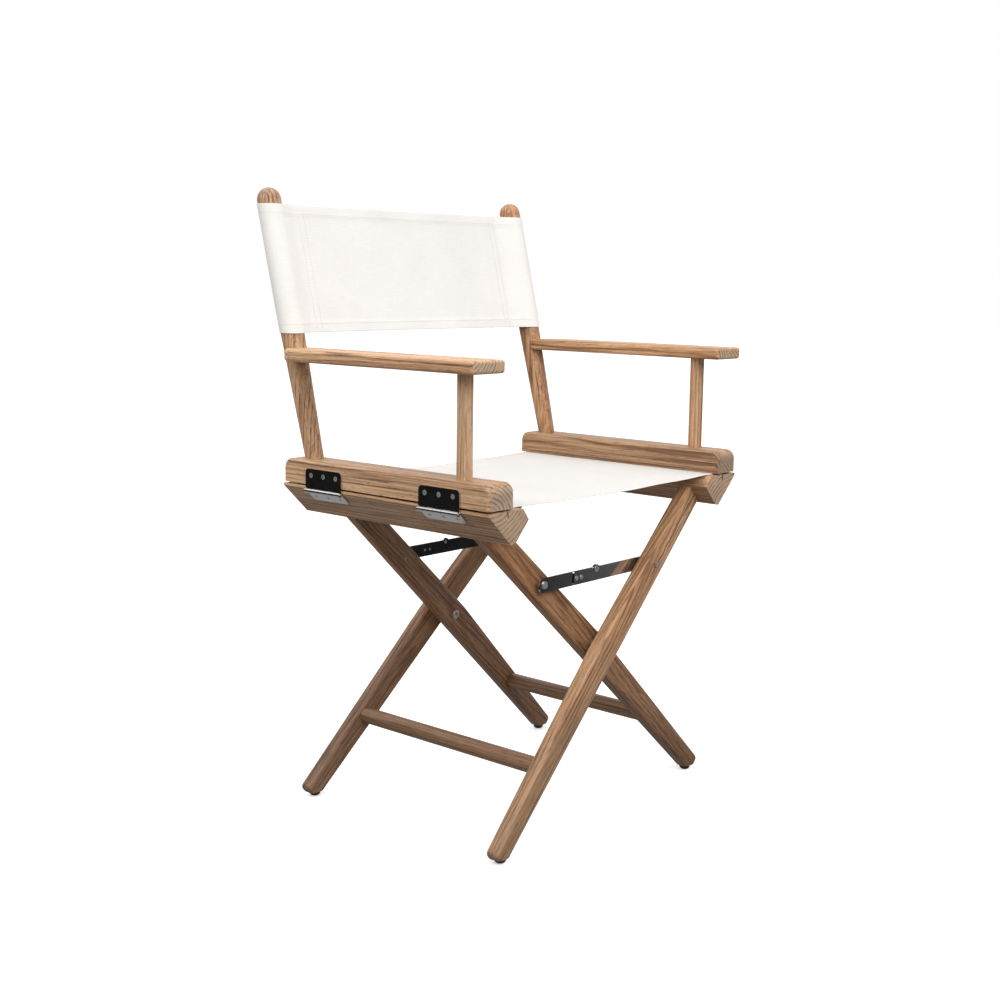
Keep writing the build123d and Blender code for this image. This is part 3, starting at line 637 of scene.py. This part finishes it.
def seat_path():
    """Points (x, z) of one half's middle surface, from the centre line to the end of its tail."""
    points = [(TOP_STEP * k * MM, SEAT_TOP) for k in range(TOP_COLUMNS)]
    radius = 1.55 * MM
    corner = (GROOVE_X + GROOVE_LAYER - radius, SEAT_TOP - radius)
    for k in range(7):
        a = math.radians(90 - 15 * k)
        points.append((corner[0] + radius * math.cos(a), corner[1] + radius * math.sin(a)))
    meet = math.degrees(math.acos(GROOVE_LAYER / LOOP_RADIUS))
    for k in range(33):
        a = math.radians(meet - (180 + 2 * meet) * k / 32)
        points.append((GROOVE_X + LOOP_RADIUS * math.cos(a), LOOP_Z + LOOP_RADIUS * math.sin(a)))
    radius = 0.8 * MM
    corner = (GROOVE_X - GROOVE_LAYER - radius, SEAT_TAIL_Z - radius)
    for k in range(5):
        a = math.radians(22.5 * k)
        points.append((corner[0] + radius * math.cos(a), corner[1] + radius * math.sin(a)))
    for k in range(1, 7):
        points.append((corner[0] - SEAT_TAIL * k / 6, SEAT_TAIL_Z))
    return points


def seat_drop(x, y):
    """How far the seat hangs below its rails at (x, y): sag, a ripple and wavy edges."""
    t = max(0.0, 1 - (x / RAIL_EDGE_X) ** 2)
    v = (y - SEAT_Y[0]) / (SEAT_Y[1] - SEAT_Y[0])
    body = SEAT_SAG * t * (0.72 + 0.45 * math.sin(math.pi * v))
    ripple = 0.35 * MM * math.sin(x * 61 + y * 23) * math.sin(y * 37 + 1.3) * t
    near = math.exp(-(min(y - SEAT_Y[0], SEAT_Y[1] - y) / 0.02) ** 2)
    edge = 0.5 * MM * math.sin(x * 44 + 0.6) * near * t
    return body + ripple + edge


def seat_halves(material, thread):
    """Two sheets that meet at x = 0. u is the run from there, negative on the right, and v is y."""
    path = seat_path()
    lengths = [0.0]
    for a, b in zip(path, path[1:]):
        lengths.append(lengths[-1] + math.dist(a, b))
    total = lengths[-1]
    top_end = lengths[TOP_COLUMNS]

    def locate(s):
        s = min(max(s, 0.0), total)
        k = 0
        while k < len(lengths) - 2 and lengths[k + 1] < s:
            k += 1
        t = (s - lengths[k]) / (lengths[k + 1] - lengths[k])
        return [a + (b - a) * t for a, b in zip(path[k], path[k + 1])]

    def thick(u, v):
        u = abs(u)
        full = hem_thickness(v, *SEAT_Y, SEAT_HEM, SEAT_THIN, SEAT_HEM_THICK)
        share = step_up(u, top_end - 4 * MM, 6 * MM)
        t = full + (min(full, SEAT_GROOVE_THICK) - full) * share
        return t * (0.5 + 0.5 * step_up(total - u, 0.4 * MM, 0.8 * MM))

    vs = spaced(*SEAT_Y, 40, hem_steps(*SEAT_Y, SEAT_HEM))
    for side, name, body in ((-1, "seat_cloth_right", "frame_b"), (1, "seat_cloth_left", "frame_a")):

        def place(u, v, side=side):
            run = max(0.0, side * u)
            x, z = locate(run)
            if run <= top_end + 1e-4:
                z -= seat_drop(side * x, v)
            share = step_up(run, top_end - 3 * MM, 6 * MM) * step_up(total - run, SEAT_TAIL, 6 * MM)
            reach = LOOP_REACH * share * max(0.0, 1 - (v - SEAT_Y[0]) / LOOP_REACH_RUN)
            return Vector((side * x, v - reach, z))

        us = sorted(side * s for s in set(lengths + [total - 0.4 * MM]))
        piece = cloth(name, place, us, vs, thick, material, lambda u, v: (u, v))
        rows = ([], [])
        for v in (SEAT_Y[0] + SEAT_HEM - HEM_STITCH_IN, SEAT_Y[1] - SEAT_HEM + HEM_STITCH_IN):
            for face in (1, -1):
                line = []
                for run in even(0.001, 0.222, 60):
                    u = side * run
                    line.append(place(u, v) + Vector((0, 0, face * thick(u, v) / 2)))
                stitch_row(rows, line, lambda k, face=face: Vector((0, 0, face)))
        sewn = stitches(name.replace("cloth", "stitches"), rows, thread)
        for part in (piece, sewn):
            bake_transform(part)
        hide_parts("seat_canvas")


# Back: a panel between two sleeves that go round the posts.
BACK_Z = (656.0 * MM, 829.0 * MM)
POST_LOW = Vector((247.0, 118.0, 488.5)) * MM
POST_HIGH = Vector((249.2, 205.3, 834.6)) * MM
POST_RISE = POST_HIGH.z - POST_LOW.z
POST_LEAN = math.hypot(POST_HIGH.y - POST_LOW.y, POST_RISE) / POST_RISE
SLEEVE_RADIUS = 17.0 * MM
SLEEVE_THICK = 0.70 * MM
FLAP_THICK = 0.95 * MM
PANEL_THIN = 0.68 * MM
PANEL_HEM_THICK = 1.15 * MM
SEAM_X = 205.0 * MM
OVERLAP_X = 190.5 * MM
BACK_HEM = 14.0 * MM
PANEL_BOW = 3.5 * MM


# u steps of each part of a sleeve: name, first u, last u, count
SLEEVE_PARTS = [
    ("front_flap", 0.0, 0.9999, 8),
    ("sleeve", 1.0001, 1.9999, 48),
    ("back_flap", 2.0001, 3.0, 16),
]


def post_at(z):
    """Centre of the left post's round part at a height."""
    return POST_LOW.lerp(POST_HIGH, (z - POST_LOW.z) / POST_RISE)


def back_thickness(z):
    return hem_thickness(z, *BACK_Z, BACK_HEM, PANEL_THIN, PANEL_HEM_THICK)


def hem_stitch_heights():
    return BACK_Z[0] + BACK_HEM - HEM_STITCH_IN, BACK_Z[1] - BACK_HEM + HEM_STITCH_IN


def panel_y(x, z):
    """Depth of the back panel: it bows back a little and puckers beside the seams and hems."""
    t = max(0.0, 1 - (x / SEAM_X) ** 2)
    v = (z - BACK_Z[0]) / (BACK_Z[1] - BACK_Z[0])
    bow = PANEL_BOW * t * (0.6 + 0.4 * math.sin(math.pi * v))
    near = math.exp(-((SEAM_X - abs(x)) / 0.05) ** 2)
    pucker = 0.9 * MM * near * math.sin(v * 17 + (1.1 if x > 0 else 0.2)) * t
    wave = 0.7 * MM * t * math.sin(x * 27 + 2.2 * v) * math.sin(v * 3.6 + x * 9 + 0.4)
    edge = min(z - BACK_Z[0], BACK_Z[1] - z)
    roll = 0.8 * MM * math.exp(-(edge / 0.012) ** 2) * math.sin(x * 52 + 1.0) * t
    return post_at(z).y + bow + pucker + wave + roll


def sleeve_point(side, u, z):
    """u runs 0 to 1 over the front flap, 1 to 2 round the post, 2 to 3 over the back flap."""
    post = post_at(z)
    reach = post.x - SEAM_X
    turn = math.acos(SLEEVE_RADIUS / reach)
    if 1 <= u <= 2:
        a = turn + (2 * math.pi - 2 * turn) * (u - 1)
        dx, dy = SLEEVE_RADIUS * math.cos(a), SLEEVE_RADIUS * math.sin(a)
    else:
        tx, ty = SLEEVE_RADIUS * math.cos(turn), SLEEVE_RADIUS * math.sin(turn)
        if u < 1:
            dx, dy = reach + (tx - reach) * u, ty * u * u * (2 - u)
        else:
            t = u - 2
            end = post.x - OVERLAP_X
            dx = tx + (end - tx) * t
            near = max(0.0, 1 - (dx - tx) / (reach - tx))
            dy = -ty * near * near * (2 - near)
            dy -= FLAP_THICK * step_up(dx, reach * 0.8, reach * 0.6)
    return Vector((side * (post.x - dx), post.y - dy * POST_LEAN, z))


def ride_and_squash(piece, body):
    """Carries piece with body and gives it a mesh of its own."""
    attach(piece, body)
    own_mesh(piece)


def back_panel(material, thread, vs):
    """The flat middle of the back, hemmed above and below and sewn to its flaps. u is x, v is z."""

    def place(u, v):
        return Vector((u, panel_y(u, v), v))

    def weave(u, v):
        return (u, v * POST_LEAN)

    us = spaced(-SEAM_X, SEAM_X, 82)
    panel = cloth("back_panel", place, us, vs, lambda u, v: back_thickness(v), material, weave)
    ride_and_squash(panel, "arm_right")
    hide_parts("back_canvas")
    rows = ([], [])
    for face in (-1, 1):
        for z in hem_stitch_heights():
            line = []
            for x in even(-0.2025, 0.405, 160):
                line.append(Vector((x, panel_y(x, z) + face * back_thickness(z) / 2, z)))
            stitch_row(rows, line, lambda k, face=face: Vector((0, face, 0)))
        for x in (-202.6, -192.5, 192.5, 202.6):
            line = []
            for z in even(0.659, 0.167, 50):
                stand = back_thickness(z) / 2 + (FLAP_THICK if face > 0 else 0.0)
                line.append(Vector((x * MM, panel_y(x * MM, z) + face * stand, z)))
            stitch_row(rows, line, lambda k, face=face: Vector((0, face, 0)))
    sewn = stitches("back_panel_stitches", rows, thread)
    ride_and_squash(sewn, "arm_right")


def back_sleeve(side, end, body, material, thread, vs):
    """One post's sleeve in three sheets: front flap, wrap and back flap. v is z."""
    reach = post_at(sum(BACK_Z) / 2).x - SEAM_X
    flat_run = math.sqrt(reach ** 2 - SLEEVE_RADIUS ** 2)
    turn = math.acos(SLEEVE_RADIUS / reach)
    round_run = SLEEVE_RADIUS * (2 * math.pi - 2 * turn)
    tail_run = flat_run + SEAM_X - OVERLAP_X

    def place(u, v):
        return sleeve_point(side, u, v)

    def weave(u, v):
        if u < 1:
            run = flat_run * u
        elif u <= 2:
            run = flat_run + round_run * (u - 1)
        else:
            run = flat_run + round_run + tail_run * (u - 2)
        return (side * (SEAM_X + run), v * POST_LEAN)

    def thick(u, v):
        full = back_thickness(v)
        t = min(full, SLEEVE_THICK) if 1 <= u <= 2 else min(full, FLAP_THICK)
        edge = 0.45 + 0.55 * step_up(3 - u, 0.02, 0.04)
        return t * edge

    parts = []
    for kind, low, high, count in SLEEVE_PARTS:
        us = even(low, high - low, count + 1)
        piece = cloth("back_%s_%s" % (kind, end), place, us, vs, thick, material, weave)
        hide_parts("back_canvas")
        parts.append((kind, piece))
    rows = {"front_flap": ([], []), "sleeve": ([], [])}
    for z in hem_stitch_heights():
        for kind, low in (("front_flap", 0.0), ("sleeve", 1.0)):
            outs = []
            line = []
            for u in even(low + 0.001, 0.998, 60):
                ahead = place(u + 0.0005, z) - place(u - 0.0005, z)
                away = ahead.cross(Vector((0, 0, side))).normalized()
                outs.append(away)
                line.append(place(u, z) + away * (thick(u, z) / 2))
            stitch_row(rows[kind], line, lambda k, outs=outs: outs[k])
    extra = {}
    for kind in rows:
        extra[kind] = stitches("back_%s_stitches_%s" % (kind, end), rows[kind], thread)
    for kind, piece in parts:
        group = [piece] + ([extra[kind]] if kind in extra else [])
        for part in group:
            if kind == "sleeve":
                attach(part, body)
            else:
                ride_and_squash(part, body)


def back_canvas(material, thread):
    vs = spaced(*BACK_Z, 26, hem_steps(*BACK_Z, BACK_HEM))
    back_panel(material, thread, vs)
    for side, end, body in ((-1, "right", "arm_right"), (1, "left", "arm_left")):
        back_sleeve(side, end, body, material, thread, vs)


# ---------------------------------------------------------------------------
# Studio
# ---------------------------------------------------------------------------


# The way the camera looks, level with the floor
BEHIND_CHAIR = (0.751, 0.660, 0.0)


def make_world():
    """White to the camera. Diffuse light comes from soft, and reflections see gloss.

    gloss is bright behind the chair and overhead, dim below and nearly black behind the camera.
    """
    world = bpy.data.worlds.new("studio")
    bpy.context.scene.world = world
    world.use_nodes = True
    graph = Graph(world.node_tree)
    direction = graph.add("TexCoord").outputs["Generated"]
    height = graph.add("SeparateXYZ", {0: direction}).outputs["Z"]
    soft = graph.colours(graph.total(0.5, (height, 0.5)), [
        (0.00, (0.20, 0.195, 0.19)),
        (0.42, (0.26, 0.255, 0.25)),
        (0.52, (0.62, 0.62, 0.62)),
        (0.70, (0.98, 0.98, 0.98)),
        (1.00, (1.00, 1.00, 1.00)),
    ])
    behind = graph.ramp(graph.vector("DOT_PRODUCT", direction, BEHIND_CHAIR), 0.10, 0.60)
    behind = graph.math("MULTIPLY", behind, graph.ramp(height, -0.70, -0.25))
    over = graph.math("MULTIPLY", graph.ramp(height, 0.30, 0.65), 1.5)
    under = graph.math("MULTIPLY", graph.ramp(height, -0.20, -0.60), 0.38)
    bright = graph.math("MAXIMUM", behind, over)
    gloss = graph.math("MAXIMUM", bright, graph.math("MAXIMUM", under, 0.012))
    grey = graph.add("CombineXYZ", {0: gloss, 1: gloss, 2: gloss}).outputs[0]
    path = graph.add("LightPath")
    lit = graph.mix(path.outputs["Is Glossy Ray"], soft, grey)
    seen = graph.mix(path.outputs["Is Camera Ray"], lit, (1.0, 1.0, 1.0))
    graph.put(world.node_tree.nodes["Background"].inputs["Color"], seen)


LIGHTS = [
    # name, place, target, size, power
    ("overhead", (-0.2, -0.3, 2.5), (0, 0, 0.4), 1.6, 12.0),
    ("front_fill", (-0.6, -1.9, 1.8), (0, 0, 0.6), 1.2, 24.0),
    ("side_fill", (-2.0, 0.4, 1.7), (0, 0, 0.7), 1.1, 14.0),
]


def area_light(name, place, target, size, power):
    data = bpy.data.lights.new(name, "AREA")
    data.shape = "SQUARE"
    data.size = size
    data.energy = power
    light = bpy.data.objects.new(name, data)
    light.location = place
    light.rotation_mode = "QUATERNION"
    light.rotation_quaternion = (Vector(target) - Vector(place)).to_track_quat("-Z", "Y")
    light.visible_camera = False
    bpy.context.scene.collection.objects.link(light)


FLOOR_HALF = 18.0
FLOOR_CELLS = 24


def make_floor():
    """A plain pale floor."""
    half, cells = FLOOR_HALF, FLOOR_CELLS
    vertices = []
    for i in range(cells + 1):
        for j in range(cells + 1):
            vertices.append((half * (2 * i / cells - 1), half * (2 * j / cells - 1), 0.0))
    faces = []
    for i in range(cells):
        for j in range(cells):
            a = i * (cells + 1) + j
            faces.append((a, a + cells + 1, a + cells + 2, a + 1))
    material, graph, shader = new_material("studio_floor")
    place = graph.add("TexCoord").outputs["Object"]
    mottle = graph.noise(place, (9, 9, 9), 3.0)
    tone = graph.colours(mottle, [(0.3, (0.93, 0.93, 0.925)), (0.7, (0.95, 0.95, 0.945))])
    graph.put(shader.inputs["Base Color"], tone)
    shader.inputs["Roughness"].default_value = 0.9
    shader.inputs["Specular IOR Level"].default_value = 0.0
    shader.inputs["Emission Color"].default_value = (1.0, 1.0, 1.0, 1.0)
    shader.inputs["Emission Strength"].default_value = 0.35
    floor = new_object("studio_floor", vertices, faces, material)
    floor.visible_diffuse = False
    floor.visible_glossy = False
    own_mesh(floor)


make_camera()
make_world()
for light in LIGHTS:
    area_light(*light)
make_floor()
bpy.context.scene.view_settings.view_transform = "Standard"

for number, row in enumerate(TIMBERS):
    timber(*row, seed=number + FIRST_SEED)

# The other nodes take the material that the CAD named, and small fasteners a duller steel.
STEEL = make_steel("polished_steel", 0.03, 0.09)
FASTENER = make_steel("fastener_steel", 0.40, 0.10)
FASTENER_WORDS = ("screws", "bolt", "rivet", "mid_pin")
SLOT_MATERIALS = {"steel": STEEL, "pad_rubber": make_rubber(), "rod": make_rod()}
for node, item in NODES.items():
    for place in item.material_slots:
        kind = place.material.name.split(".")[0] if place.material else ""
        if kind in SLOT_MATERIALS:
            place.material = SLOT_MATERIALS[kind]
        if any(word in node for word in FASTENER_WORDS):
            place.material = FASTENER

# Seat and back are one canvas. The seat's copy is painted darker, as shade against the stronger light
# from above on it.
SEAT_TONE_WITH_PAINTED_SHADE = 0.775
BACK_TONE = 0.905
THREAD = make_thread()
seat_halves(make_canvas("seat_canvas_cloth", SEAT_TONE_WITH_PAINTED_SHADE), THREAD)
back_canvas(make_canvas("back_canvas_cloth", BACK_TONE), THREAD)
